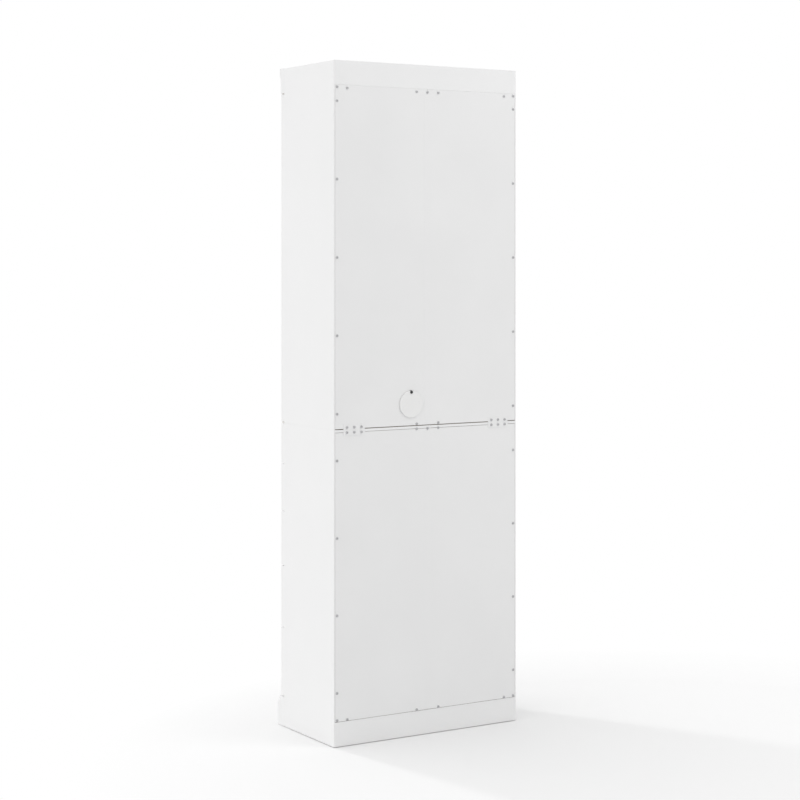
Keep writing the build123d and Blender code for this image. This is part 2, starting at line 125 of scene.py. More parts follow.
class ArmoireFixings(bpy.types.PropertyGroup):
    head_radius: length("Screw head radius", "Pan head, from middle to rim", 3.8 * MM)
    head_height: length("Screw head height", "Pan head, from seat to crown", 2.2 * MM)
    head_round: length("Screw head rounding", "Radius round the rim of the head", 1.4 * MM)
    shank_radius: length("Screw shank radius", "Threaded part", 1.7 * MM)
    shank_length: length("Screw shank length", "Threaded part behind the seat", 13.0 * MM)
    recess_width: length("Recess width", "Width of one wing of the cross recess", 1.0 * MM)
    recess_span: length("Recess span", "Across the cross recess", 4.2 * MM)
    recess_depth: length("Recess depth", "Depth of the cross recess", 1.3 * MM)
    tape_width: length("Tape width", "Width of the tape over the fold", 22.0 * MM)
    tape_thickness: length("Tape thickness", "Thickness of the tape", 0.2 * MM)
    strike_length: length("Strike plate length", "Plate that a door's magnet holds", 36.0 * MM)
    strike_height: length("Strike plate height", "Height of the strike plate", 12.0 * MM)
    strike_thickness: length("Strike plate thickness", "Thickness of the strike plate", 1.2 * MM)
    bumper_radius: length("Bumper radius", "Stick-on bumpers behind doors and drawer fronts", 4.0 * MM)
    bumper_height: length("Bumper height", "Stick-on bumpers behind doors and drawer fronts", 1.7 * MM)


class ArmoireLinings(bpy.types.PropertyGroup):
    roll_count: IntProperty(name="Ring rolls", description="Padded rolls in the top drawer",
                            default=10, min=4, max=16)
    roll_fill: FloatProperty(name="Roll fill", description="How tightly the rolls are stuffed",
                             subtype="FACTOR", default=0.85, min=0.0, max=1.0)
    roll_base: length("Roll base thickness", "Covered board under the ring rolls", 2.0 * MM)
    board_thickness: length("Lining thickness", "Lift-out lining boards of the lower drawers", 1.8 * MM)
    board_play: length("Lining play", "Gap round each lining board", 1.5 * MM)
    notch_radius: length("Finger notch radius", "Notch for lifting a lining board out", 13.0 * MM)
    tray_rounding: length("Tray rounding", "Rounding of the flocked tray's edges", 1.4 * MM)


class ArmoireStudio(bpy.types.PropertyGroup):
    floor: colour("Floor", "Colour of the studio floor", (0.842, 0.842, 0.842))
    floor_size: length("Floor size", "Across the studio floor", 60.0)
    fade_middle: spot("Fade middle", "Point of the floor from which its fade to white is measured",
                      (-0.35, 0.75, 0.0))
    fade_start: length("Fade start", "How far out the floor begins to fade", 1.0)
    fade_end: length("Fade end", "How far out the floor is white", 1.5)
    ambient: FloatProperty(name="Ambient", description="Soft light from all round", default=0.667, min=0.0)
    lean: spot("Lean", "Where more of the soft light comes from, and by what share", (0.56, -0.3, 0.68))
    key_power: power("Key power", "Small lamp in front of the doors", 26.5)
    key_place: spot("Key place", "Where the key lamp stands", (0.636, -1.967, 5.0))
    key_aim: length("Key aim", "Height that the key lamp points at", 0.9)
    key_size: length("Key size", "Across the key lamp", 0.24)
    back_power: power("Back power", "Lamp that lights the back from above", 35.5)
    back_place: spot("Back place", "Where the back lamp stands", (-1.9, 2.4, 3.9))
    back_aim: length("Back aim", "Height that the back lamp points at", 1.1)
    back_size: length("Back size", "Across the back lamp", 2.2)
    camera_place: spot("Camera place", "Where the camera stands", (2.8742, 4.66095, 1.3001))
    camera_turn: FloatProperty(name="Camera turn", description="Turn of the level camera about the upright",
                               subtype="ANGLE", unit="ROTATION", default=math.radians(148.257))
    lens: FloatProperty(name="Lens", description="Focal length of the camera in millimetres",
                        default=87.85, min=1.0)
    rise: FloatProperty(name="Rise", description="Vertical shift that frames the armoire",
                        default=-0.1765)


# --------------------------------------
# Modelling helpers
# --------------------------------------
def alone(piece):
    """Selects one piece only and makes it the active one."""
    bpy.ops.object.select_all(action="DESELECT")
    piece.select_set(True)
    bpy.context.view_layer.objects.active = piece


def start_block(name, low, high):
    """A block between two corners, its place applied."""
    bpy.ops.object.select_all(action="DESELECT")
    low, high = Vector(low), Vector(high)
    bpy.ops.mesh.primitive_cube_add(size=1.0, location=(low + high) / 2)
    piece = bpy.context.object
    piece.name = piece.data.name = name
    piece.scale = high - low
    bpy.ops.object.transform_apply(location=True, rotation=True, scale=True)
    return piece


def start_disc(name, radius, depth, middle, turn=(0.0, 0.0, 0.0), sides=24):
    """A short cylinder round its own Z, turned and placed."""
    bpy.ops.object.select_all(action="DESELECT")
    bpy.ops.mesh.primitive_cylinder_add(vertices=sides, radius=radius, depth=depth, location=middle,
                                        rotation=turn)
    piece = bpy.context.object
    piece.name = piece.data.name = name
    bpy.ops.object.transform_apply(location=True, rotation=True, scale=True)
    return piece


@contextmanager
def editing():
    """Edit mode for the active piece, for as long as the block lasts."""
    bpy.ops.object.mode_set(mode="EDIT")
    yield
    bpy.ops.object.mode_set(mode="OBJECT")


def choose(piece, kind, test):
    """In edit mode, selects only the faces or the edges that pass the test."""
    bpy.ops.mesh.select_mode(type=kind)
    bpy.ops.mesh.select_all(action="DESELECT")
    shape = bmesh.from_edit_mesh(piece.data)
    for part in shape.faces if kind == "FACE" else shape.edges:
        if test(part):
            part.select_set(True)
    bmesh.update_edit_mesh(piece.data)


def choose_faces(piece, test):
    """In edit mode, selects only the faces whose normal passes the test."""
    choose(piece, "FACE", lambda face: test(face.normal))


def choose_edges(piece, test):
    """In edit mode, selects only the edges whose two ends pass the test."""
    choose(piece, "EDGE", lambda edge: test(edge.verts[0].co, edge.verts[1].co))


def bevel(size, steps):
    """In edit mode, rounds the chosen edges or the rims of the chosen faces."""
    bpy.ops.mesh.bevel(offset=size, segments=steps, affect="EDGES")


def apply_modifier(piece, kind, **settings):
    """Adds a modifier with the given settings and applies it."""
    alone(piece)
    modifier = piece.modifiers.new(kind.title(), kind)
    for name, value in settings.items():
        setattr(modifier, name, value)
    bpy.ops.object.modifier_apply(modifier=modifier.name)


def cut_away(piece, cutter):
    """Cuts one shape out of another, and removes the cutter."""
    apply_modifier(piece, "BOOLEAN", operation="DIFFERENCE", object=cutter, solver="EXACT")
    bpy.data.objects.remove(cutter)


def repeat(name, model, places, turns):
    """Copies of the model at the given places, each turned about Y, joined into one piece."""
    copies = []
    for where, turn in zip(places, turns):
        copy = model.copy()
        copy.data = model.data.copy()
        bpy.context.scene.collection.objects.link(copy)
        copy.location = where
        copy.rotation_euler = (0.0, turn, 0.0)
        copies.append(copy)
    bpy.data.objects.remove(model)
    bpy.ops.object.select_all(action="DESELECT")
    for copy in copies:
        copy.select_set(True)
    bpy.context.view_layer.objects.active = copies[0]
    bpy.ops.object.join()
    piece = bpy.context.object
    piece.name = piece.data.name = name
    return piece


def settle(piece, body, slot, angle=35.0):
    """Applies the piece's place, smooths what is rounded, and gives it its body and its finish."""
    alone(piece)
    bpy.ops.object.transform_apply(location=True, rotation=True, scale=True)
    bpy.ops.object.shade_smooth_by_angle(angle=math.radians(angle))
    piece.data.materials.clear()
    piece.data.materials.append(finish_named(slot))
    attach(piece, body)


# --------------------------------------
# Shader helpers and shared effects
# --------------------------------------
def new_group(name, inputs, outputs):
    """A shader group with its sockets, and its input and output nodes."""
    tree = bpy.data.node_groups.new(name, "ShaderNodeTree")
    for label, kind, default in inputs:
        socket = tree.interface.new_socket(name=label, in_out="INPUT", socket_type=f"NodeSocket{kind}")
        socket.default_value = default
    for label, kind in outputs:
        tree.interface.new_socket(name=label, in_out="OUTPUT", socket_type=f"NodeSocket{kind}")
    return tree, tree.nodes.new("NodeGroupInput").outputs, tree.nodes.new("NodeGroupOutput").inputs


def add(tree, kind, sockets=(), **settings):
    """A node with its settings; each socket takes a plain value or a link."""
    node = tree.nodes.new(f"ShaderNode{kind}")
    for name, value in settings.items():
        setattr(node, name, value)
    for name, value in dict(sockets).items():
        if isinstance(value, bpy.types.NodeSocket):
            tree.links.new(value, node.inputs[name])
        else:
            node.inputs[name].default_value = value
    return node


def math_node(tree, operation, a, b=0.0, clamp=False):
    return add(tree, "Math", {0: a, 1: b}, operation=operation, use_clamp=clamp).outputs[0]


def blend_colours(tree, factor, a, b, mode="MIX"):
    return add(tree, "Mix", {0: factor, 6: a, 7: b}, data_type="RGBA", blend_type=mode).outputs[2]


def spread(tree, value, low, high, out_low, out_high):
    """Maps a value from one range to another, held within the second."""
    return add(tree, "MapRange", {"Value": value, "From Min": low, "From Max": high,
                                  "To Min": out_low, "To Max": out_high}).outputs[0]


def place(tree):
    return add(tree, "TexCoord").outputs["Object"]


def noise(tree, vector, scale, detail=2.0, roughness=0.5, distortion=0.0):
    return add(tree, "TexNoise", {"Vector": vector, "Scale": scale, "Detail": detail,
                                  "Roughness": roughness, "Distortion": distortion}).outputs[0]


def eased_corner(tree, radius):
    return add(tree, "Bevel", {"Radius": radius}, samples=4).outputs[0]


def shaded(tree, colour_in, shade):
    return add(tree, "VectorMath", {0: colour_in, "Scale": shade}, operation="SCALE").outputs[0]


def bumped(tree, height, strength, distance, normal=None):
    sockets = {"Strength": strength, "Distance": distance, "Height": height}
    if normal is not None:
        sockets["Normal"] = normal
    return add(tree, "Bump", sockets).outputs[0]


def build_paint_film():
    """Satin paint: slight mottling, orange peel, and corners eased by the coat."""
    tree, given, out = new_group(
        "Paint Film",
        [("Color", "Color", (0.8, 0.8, 0.8, 1.0)), ("Mottle", "Float", 0.01), ("Roughness", "Float", 0.4),
         ("Peel Scale", "Float", 700.0), ("Peel Strength", "Float", 0.1), ("Corner", "Float", 0.6 * MM)],
        [("Color", "Color"), ("Roughness", "Float"), ("Normal", "Vector")])
    where = place(tree)
    cloudy = noise(tree, where, 4.0, detail=4.0)
    low = math_node(tree, "SUBTRACT", 1.0, given["Mottle"])
    high = math_node(tree, "ADD", 1.0, given["Mottle"])
    shade = spread(tree, cloudy, 0.3, 0.7, low, high)
    tree.links.new(shaded(tree, given["Color"], shade), out["Color"])
    rubbed = spread(tree, noise(tree, where, 22.0, detail=3.0), 0.3, 0.7, -0.035, 0.035)
    tree.links.new(math_node(tree, "ADD", given["Roughness"], rubbed, clamp=True), out["Roughness"])
    eased = eased_corner(tree, given["Corner"])
    peel = noise(tree, where, given["Peel Scale"], detail=2.0, roughness=0.45)
    tree.links.new(bumped(tree, peel, given["Peel Strength"], 0.2 * MM, eased), out["Normal"])
    return tree


def build_edge_wear_and_shade():
    """A mask along outer and inner corners, broken up so that it comes and goes: worn edges, and, where it
    darkens inner corners, painted shade.
    """
    tree, given, out = new_group(
        "Edge Wear And Shade",
        [("Reach", "Float", 1.5 * MM), ("Amount", "Float", 1.0), ("Break Scale", "Float", 60.0)],
        [("Mask", "Float")])
    flat = add(tree, "NewGeometry").outputs["Normal"]
    rounded = eased_corner(tree, given["Reach"])
    agree = add(tree, "VectorMath", {0: flat, 1: rounded}, operation="DOT_PRODUCT").outputs["Value"]
    edge = spread(tree, agree, 0.995, 0.8, 0.0, 1.0)
    patchy = noise(tree, place(tree), given["Break Scale"], detail=4.0, roughness=0.6)
    broken = spread(tree, patchy, 0.4, 0.62, 0.0, 1.0)
    wear_and_shade = math_node(tree, "MULTIPLY", edge, broken)
    tree.links.new(math_node(tree, "MULTIPLY", wear_and_shade, given["Amount"], clamp=True), out["Mask"])
    return tree


def build_cut_seat():
    """A mask over the seats cut into the rear of the case for the hardboard backs."""
    tree, given, out = new_group("Cut Seat", [("Depth", "Float", 3.1 * MM), ("Lip", "Float", 3.4 * MM)],
                                 [("Mask", "Float")])
    where = add(tree, "SeparateXYZ", {0: place(tree)}).outputs
    below = math_node(tree, "LESS_THAN", where["Y"], BACK_FACE - 0.1 * MM)
    floor = math_node(tree, "SUBTRACT", BACK_FACE, given["Depth"])
    above = math_node(tree, "GREATER_THAN", where["Y"], floor)
    side = math_node(tree, "SUBTRACT", CASE_HALF_WIDTH, given["Lip"])
    inside = math_node(tree, "LESS_THAN", math_node(tree, "ABSOLUTE", where["X"]), side)
    cut = math_node(tree, "MULTIPLY", math_node(tree, "MULTIPLY", below, above), inside)
    tree.links.new(cut, out["Mask"])
    return tree


def build_long_grain():
    """Plain-sawn wood: growth bands, streaks and pores that run along X, or along Y where Along Y is 1."""
    tree, given, out = new_group(
        "Long Grain",
        [("Pale", "Color", (0.7, 0.55, 0.4, 1.0)), ("Dark", "Color", (0.5, 0.36, 0.22, 1.0)),
         ("Along Y", "Float", 0.0), ("Figure", "Float", 1.0)],
        [("Color", "Color"), ("Roughness", "Float"), ("Height", "Float")])
    where = place(tree)
    along_x = add(tree, "Mapping", {"Vector": where, "Scale": (0.06, 1.0, 1.0)}).outputs[0]
    along_y = add(tree, "Mapping", {"Vector": where, "Scale": (1.0, 0.06, 1.0)}).outputs[0]
    run = add(tree, "Mix", {0: given["Along Y"], 4: along_x, 5: along_y}, data_type="VECTOR").outputs[1]
    sway = noise(tree, run, 9.0, detail=3.0, roughness=0.5, distortion=0.4)
    band_count = math_node(tree, "MULTIPLY", given["Figure"], 9.0)
    bands = math_node(tree, "FRACT", math_node(tree, "MULTIPLY", sway, band_count))
    ring = math_node(tree, "PINGPONG", bands, 0.5)
    streak = noise(tree, run, 260.0, detail=4.0, roughness=0.6)
    pore = noise(tree, run, 900.0, detail=2.0, roughness=0.5)
    late = math_node(tree, "ADD", math_node(tree, "MULTIPLY", ring, 0.9),
                     spread(tree, streak, 0.35, 0.65, -0.12, 0.32), clamp=True)
    tree.links.new(blend_colours(tree, late, given["Pale"], given["Dark"]), out["Color"])
    tree.links.new(spread(tree, late, 0.0, 1.0, 0.36, 0.5), out["Roughness"])
    half_streak, half_pore = (math_node(tree, "MULTIPLY", part, 0.5) for part in (streak, pore))
    tree.links.new(math_node(tree, "ADD", half_streak, half_pore), out["Height"])
    return tree


def build_pile():
    """Velvet or flock: fine upright fibres for the bump, and a painted sheen in the colour, lighter in
    patches and fibre by fibre.
    """
    tree, given, out = new_group(
        "Pile",
        [("Color", "Color", (0.2, 0.2, 0.2, 1.0)), ("Lift", "Color", (0.3, 0.3, 0.3, 1.0)),
         ("Fibre Scale", "Float", 1800.0), ("Sheen Share", "Float", 0.5)],
        [("Color", "Color"), ("Height", "Float")])
    where = place(tree)
    fibre = noise(tree, where, given["Fibre Scale"], detail=2.0, roughness=0.6)
    # Painted sheen: patches and fibre speckle turn the colour towards the lighter one, where pile would catch
    # the light
    sheen_patches = noise(tree, where, 28.0, detail=3.0, roughness=0.5, distortion=0.8)
    sheen_patch_mask = spread(tree, sheen_patches, 0.4, 0.62, 0.0, 1.0)
    sheen_mix = math_node(tree, "ADD", math_node(tree, "MULTIPLY", sheen_patch_mask, given["Sheen Share"]),
                       spread(tree, fibre, 0.35, 0.65, -0.25, 0.35), clamp=True)
    tree.links.new(blend_colours(tree, sheen_mix, given["Color"], given["Lift"]), out["Color"])
    tree.links.new(fibre, out["Height"])
    return tree


def build_satin_metal():
    """Plated or brushed metal: fine turned lines, and a tone that wanders a little."""
    tree, given, out = new_group(
        "Satin Metal",
        [("Color", "Color", (0.6, 0.6, 0.6, 1.0)), ("Roughness", "Float", 0.3),
         ("Line Scale", "Float", 1500.0), ("Tone", "Float", 0.06)],
        [("Color", "Color"), ("Roughness", "Float"), ("Height", "Float")])
    where = place(tree)
    squeezed = add(tree, "Mapping", {"Vector": where, "Scale": (1.0, 1.0, 0.08)}).outputs[0]
    lines = noise(tree, squeezed, given["Line Scale"], detail=3.0, roughness=0.6)
    patch = noise(tree, where, 90.0, detail=3.0)
    low = math_node(tree, "SUBTRACT", 1.0, given["Tone"])
    shade = spread(tree, patch, 0.3, 0.7, low, 1.0)
    tree.links.new(shaded(tree, given["Color"], shade), out["Color"])
    turned = spread(tree, lines, 0.3, 0.7, -0.05, 0.07)
    tree.links.new(math_node(tree, "ADD", given["Roughness"], turned, clamp=True), out["Roughness"])
    tree.links.new(lines, out["Height"])
    return tree


EFFECTS = {"Paint Film": build_paint_film, "Edge Wear And Shade": build_edge_wear_and_shade, "Cut Seat": build_cut_seat,
           "Long Grain": build_long_grain, "Pile": build_pile, "Satin Metal": build_satin_metal}


def effect(tree, name, values=()):
    """Places a shared effect in a material, with its own values."""
    group = bpy.data.node_groups.get(name) or EFFECTS[name]()
    return add(tree, "Group", values, node_tree=group).outputs


def new_finish(slot):
    """An empty material for a slot, with its principled shader."""
    material = bpy.data.materials.new(f"armoire_{slot}")
    material.use_nodes = True
    tree = material.node_tree
    return material, tree, tree.nodes["Principled BSDF"]


def feed(tree, shader, **sockets):
    """Feeds the shader's sockets, by their names with underscores, from values or links."""
    for name, value in sockets.items():
        socket = shader.inputs[name.replace("_", " ")]
        if isinstance(value, bpy.types.NodeSocket):
            tree.links.new(value, socket)
        else:
            socket.default_value = value


def sawn_board(tree, look):
    """Bare fibre where a board was cut after it was coated."""
    fibre = noise(tree, place(tree), 1600.0, detail=3.0, roughness=0.7)
    darker = tuple(0.6 * c for c in look.raw_edge[:3])
    return blend_colours(tree, spread(tree, fibre, 0.35, 0.65, 0.0, 1.0), look.raw_edge, (*darker, 1.0))


def coated(tree, shader, values, **others):
    """A painted, powder-coated or moulded surface with nothing else on it."""
    film = effect(tree, "Paint Film", values)
    feed(tree, shader, Base_Color=film["Color"], Roughness=film["Roughness"], Normal=film["Normal"], **others)


def bright_metal(tree, shader, values, strength, distance, corner):
    """Plated or brushed metal with fine lines and eased corners."""
    metal = effect(tree, "Satin Metal", values)
    feed(tree, shader, Base_Color=metal["Color"], Roughness=metal["Roughness"], Metallic=1.0,
         Normal=bumped(tree, metal["Height"], strength, distance, eased_corner(tree, corner)))


def painted_board(tree, shader, look):
    film = effect(tree, "Paint Film", {"Color": look.paint, "Mottle": 0.008, "Roughness": 0.42,
                                       "Peel Scale": 620.0, "Peel Strength": 0.12, "Corner": 0.7 * MM})
    # Paint darkened in patches along outer edges, as worn thin paint, and in inner corners, where it is
    # painted shade
    corner_mask = effect(tree, "Edge Wear And Shade", {"Reach": 1.2 * MM, "Amount": 0.3, "Break Scale": 45.0})
    wear_and_shade = tuple(0.8 * c for c in look.paint[:3])
    coat = blend_colours(tree, corner_mask["Mask"], film["Color"], (*wear_and_shade, 1.0))
    seat = effect(tree, "Cut Seat")["Mask"]
    feed(tree, shader, Base_Color=blend_colours(tree, seat, coat, sawn_board(tree, look)),
         Roughness=film["Roughness"], Normal=film["Normal"])


def painted_hardboard(tree, shader, look):
    film = effect(tree, "Paint Film", {"Color": look.hardboard, "Mottle": 0.014, "Roughness": 0.5,
                                       "Peel Scale": 1100.0, "Peel Strength": 0.2, "Corner": 0.3 * MM})
    facing = add(tree, "SeparateXYZ", {0: add(tree, "NewGeometry").outputs["Normal"]}).outputs["Y"]
    sawn = math_node(tree, "LESS_THAN", math_node(tree, "ABSOLUTE", facing), 0.5)
    feed(tree, shader, Base_Color=blend_colours(tree, sawn, film["Color"], sawn_board(tree, look)),
         Roughness=math_node(tree, "MAXIMUM", film["Roughness"], math_node(tree, "MULTIPLY", sawn, 0.85)),
         Normal=film["Normal"])


def zinc_screw(tree, shader, look):
    bright_metal(tree, shader, {"Color": look.zinc, "Roughness": 0.34, "Line Scale": 1300.0, "Tone": 0.12},
                 strength=0.15, distance=0.05 * MM, corner=0.15 * MM)


def white_plate(tree, shader, look):
    coated(tree, shader, {"Color": look.powder_coat, "Mottle": 0.01, "Roughness": 0.48,
                          "Peel Scale": 1500.0, "Peel Strength": 0.3, "Corner": 0.4 * MM})


def black_screw(tree, shader, look):
    metal = effect(tree, "Satin Metal", {"Color": look.black_oxide, "Roughness": 0.42, "Line Scale": 1500.0,
                                         "Tone": 0.3})
    corner_mask = effect(tree, "Edge Wear And Shade", {"Reach": 0.5 * MM, "Amount": 0.35, "Break Scale": 500.0})
    rubbed = (0.14, 0.14, 0.14, 1.0)
    feed(tree, shader, Base_Color=blend_colours(tree, corner_mask["Mask"], metal["Color"], rubbed),
         Roughness=metal["Roughness"], Normal=bumped(tree, metal["Height"], strength=0.2, distance=0.05 * MM))


def white_plastic(tree, shader, look):
    coated(tree, shader, {"Color": look.plastic, "Mottle": 0.004, "Roughness": 0.46,
                          "Peel Scale": 2200.0, "Peel Strength": 0.22, "Corner": 0.3 * MM}, IOR=1.46)


def nickel(tree, shader, look):
    bright_metal(tree, shader, {"Color": look.nickel, "Roughness": 0.27, "Line Scale": 1800.0, "Tone": 0.05},
                 strength=0.12, distance=0.04 * MM, corner=0.4 * MM)


def wood(tree, shader, pale, dark, along_y, figure):
    grain = effect(tree, "Long Grain", {"Pale": pale, "Dark": dark, "Along Y": along_y, "Figure": figure})
    corner_mask = effect(tree, "Edge Wear And Shade", {"Reach": 1.0 * MM, "Amount": 0.4, "Break Scale": 70.0})
    feed(tree, shader, Base_Color=blend_colours(tree, corner_mask["Mask"], grain["Color"], pale),
         Roughness=grain["Roughness"],
         Normal=bumped(tree, grain["Height"], 0.25, 0.1 * MM, eased_corner(tree, 0.8 * MM)))


def drawer_wood(tree, shader, look):
    """The sides of a box run front to back, and its front, rear and floor run across."""
    facing = add(tree, "SeparateXYZ", {0: add(tree, "NewGeometry").outputs["Normal"]}).outputs["X"]
    side = math_node(tree, "GREATER_THAN", math_node(tree, "ABSOLUTE", facing), 0.5)
    wood(tree, shader, look.birch_light, look.birch_dark, along_y=side, figure=1.0)


def runner_wood(tree, shader, look):
    wood(tree, shader, look.runner_light, look.runner_dark, along_y=1.0, figure=1.6)


def mirror(tree, shader, look):
    where = place(tree)
    wiped = noise(tree, where, 14.0, detail=5.0, roughness=0.6, distortion=1.2)
    smear = spread(tree, wiped, 0.48, 0.72, 0.0, 0.035)
    cloud = spread(tree, noise(tree, where, 3.0, detail=2.0), 0.3, 0.7, 0.985, 1.0)
    feed(tree, shader, Base_Color=shaded(tree, look.silvering[:3], cloud), Roughness=smear, Metallic=1.0)


def velvet_coat(tree, shader, look, fibre_scale, sheen_share, depth):
    # The pile's colour carries a painted sheen; the shader's own sheen is set on its sockets below
    pile = effect(tree, "Pile", {"Color": look.velvet, "Lift": look.velvet_sheen, "Fibre Scale": fibre_scale,
                                 "Sheen Share": sheen_share})
    feed(tree, shader, Base_Color=pile["Color"], Roughness=0.95,
         Normal=bumped(tree, pile["Height"], 0.6, depth, eased_corner(tree, 0.8 * MM)),
         Sheen_Weight=0.7, Sheen_Roughness=0.4, Sheen_Tint=(0.75, 0.75, 0.8, 1.0), Specular_IOR_Level=0.2)


def velvet(tree, shader, look):
    velvet_coat(tree, shader, look, fibre_scale=1500.0, sheen_share=0.6, depth=0.6 * MM)


def lined_backing(tree, shader, look):
    velvet_coat(tree, shader, look, fibre_scale=1900.0, sheen_share=0.35, depth=0.4 * MM)


def flocked_tray(tree, shader, look):
    velvet_coat(tree, shader, look, fibre_scale=2600.0, sheen_share=0.2, depth=0.3 * MM)


def fold_tape(tree, shader, look):
    coated(tree, shader, {"Color": look.tape, "Mottle": 0.008, "Roughness": 0.46,
                          "Peel Scale": 180.0, "Peel Strength": 0.1, "Corner": 0.05 * MM})


FINISHES = {finish.__name__: finish for finish in (
    painted_board, painted_hardboard, zinc_screw, white_plate, black_screw, white_plastic, nickel,
    drawer_wood, runner_wood, mirror, velvet, lined_backing, flocked_tray, fold_tape)}


def finish_named(slot):
    """The material of a slot, made the first time that it is asked for."""
    material = bpy.data.materials.get(f"armoire_{slot}")
    if material is None:
        material, tree, shader = new_finish(slot)
        FINISHES[slot](tree, shader, bpy.context.scene.armoire_finishes)
    return material


# --------------------------------------
# Where the fixings are, in metres
# --------------------------------------
def both_sides(points):
    return points + [(-x, z) for x, z in points if x]


def edge_row(x, base, row):
    """X and Z of one upright row of screws above its base."""
    start, pitch, count = row
    return [(x, base + (start + pitch * i) * MM) for i in range(count)]


def leaf_screw_places(head_radius):
    """X and Z of the screws round both backs: up the sides, along the four case panels and on the fold."""
    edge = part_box("back_screws")[1].x - head_radius
    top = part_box("upper_top_panel")[0].z
    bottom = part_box("lower_bottom_panel")[0].z
    upper = edge_row(edge, SEAM, UPPER_EDGE_ROW) + [(edge, top + CORNER_RISE)]
    lower = edge_row(edge, 0.0, LOWER_EDGE_ROW) + [(edge, bottom + CORNER_RISE)]
    panels = [(x, z) for z in (top + TOP_ROW_RISE, bottom + BOTTOM_ROW_RISE) for x in PANEL_SCREWS]
    edge_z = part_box("lower_back_right_leaf")[1].z
    seam = [(PANEL_SCREWS[0], SEAM + SEAM_ROW_RISE), (PANEL_SCREWS[0], edge_z)]
    fold = [(0.0, top + TOP_ROW_RISE), (0.0, edge_z)]
    return both_sides(upper + lower + panels + seam + fold)


def plate_screw_places():
    """X and Z of the joining plates' screws: two rows of three on each plate."""
    low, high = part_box("joining_plates")
    middle_x, middle_z = high.x - PLATE_HALF_LENGTH, (low.z + high.z) / 2
    return both_sides([(middle_x + PLATE_PITCH * column, middle_z + PLATE_ROW * row)
                       for column in (-1, 0, 1) for row in (-1, 1)])


def new_screw(sizes):
    """One pan-head screw with a cross recess: its seat at Y = 0, its head towards +Y."""
    tip_share, tip_taper, recess_taper = 0.2, 0.15, 0.45
    screw = start_disc("screw_model", sizes.head_radius, sizes.head_height,
                       (0.0, sizes.head_height / 2, 0.0), FACING_REAR)
    with editing():
        choose_faces(screw, lambda normal: normal.y > 0.9)
        bevel(sizes.head_round, 4)
        choose_faces(screw, lambda normal: normal.y < -0.9)
        bpy.ops.mesh.inset(thickness=sizes.head_radius - sizes.shank_radius)
        for share in (1.0 - tip_share, tip_share):
            reach = -sizes.shank_length * share
            bpy.ops.mesh.extrude_region_move(TRANSFORM_OT_translate={"value": (0.0, reach, 0.0)})
        bpy.ops.transform.resize(value=(tip_taper, 1.0, tip_taper),
                                 center_override=(0.0, -sizes.shank_length, 0.0))

    half = sizes.recess_width / 2
    top = sizes.head_height
    cutter = start_block("recess_model", (-half, top - sizes.recess_depth, -half), (half, top + half, half))
    with editing():
        choose_faces(cutter, lambda normal: abs(normal.y) < 0.5)
        bpy.ops.mesh.extrude_faces_move(TRANSFORM_OT_shrink_fatten={"value": sizes.recess_span / 2 - half})
        choose_faces(cutter, lambda normal: normal.y < -0.5)
        bpy.ops.transform.resize(value=(recess_taper, 1.0, recess_taper),
                                 center_override=(0.0, top - sizes.recess_depth, 0.0))
    cut_away(screw, cutter)
    return screw


def quarter_turns(count):
    """A turn for each screw: none of them stops with its recess at the same angle."""
    step = 0.61
    return [(step * i) % (math.pi / 2) for i in range(count)]


# --------------------------------------
# Operators: one for each piece or group of like pieces
# --------------------------------------
class ARMOIRE_OT_finishes(bpy.types.Operator):
    """Give every part of the case, doors and drawers its finish"""
    bl_idname = "armoire.finishes"
    bl_label = "Finishes"

    def execute(self, context):
        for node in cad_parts.values():
            for holder in node.material_slots:
                holder.material = finish_named(holder.material.name)
        return {"FINISHED"}


class ARMOIRE_OT_screws(bpy.types.Operator):
    """Pan-head screws round the backs and on the joining plates"""
    bl_idname = "armoire.screws"
    bl_label = "Screws"

    def execute(self, context):
        sizes = context.scene.armoire_fixings
        plate_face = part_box("joining_plates")[1].y
        for name, node, places, seat in (
                ("back_screw_heads", "back_screws", leaf_screw_places(sizes.head_radius), BACK_FACE),
                ("plate_screw_heads", "joining_plate_screws", plate_screw_places(), plate_face)):
            seats = [(x, seat, z) for x, z in places]
            screws = repeat(name, new_screw(sizes), seats, quarter_turns(len(places)))
            settle(screws, "case", "zinc_screw")
            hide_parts(node)
        return {"FINISHED"}


class ARMOIRE_OT_fold_tape(bpy.types.Operator):
    """White tape down the fold of each hardboard back, between its screws"""
    bl_idname = "armoire.fold_tape"
    bl_label = "Fold tape"

    def execute(self, context):
        sizes = context.scene.armoire_fixings
        clear = 1.5 * sizes.head_radius
        end_gap, ripple, ripple_seed = 1 * MM, 0.04 * MM, 7
        for section, top_screw in (("lower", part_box("lower_back_right_leaf")[1].z),
                                   ("upper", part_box("upper_top_panel")[0].z + TOP_ROW_RISE)):
            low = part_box(f"{section}_back_right_leaf")[0]
            tape = start_block(f"{section}_fold_tape", (-sizes.tape_width / 2, BACK_FACE, low.z + end_gap),
                               (sizes.tape_width / 2, BACK_FACE + sizes.tape_thickness, top_screw - clear))
            with editing():
                choose_edges(tape, lambda a, b: abs(a.z - b.z) > 100 * MM)
                bpy.ops.mesh.subdivide(number_cuts=90)
                choose_edges(tape, lambda a, b: abs(a.x - b.x) > 10 * MM and a.y > BACK_FACE + 0.1 * MM)
                bpy.ops.mesh.subdivide(number_cuts=5)
                choose_faces(tape, lambda normal: normal.y > 0.9)
                bpy.ops.transform.vertex_random(offset=ripple, uniform=0.0, normal=1.0, seed=ripple_seed)
            settle(tape, "case", "fold_tape", 50.0)
        return {"FINISHED"}


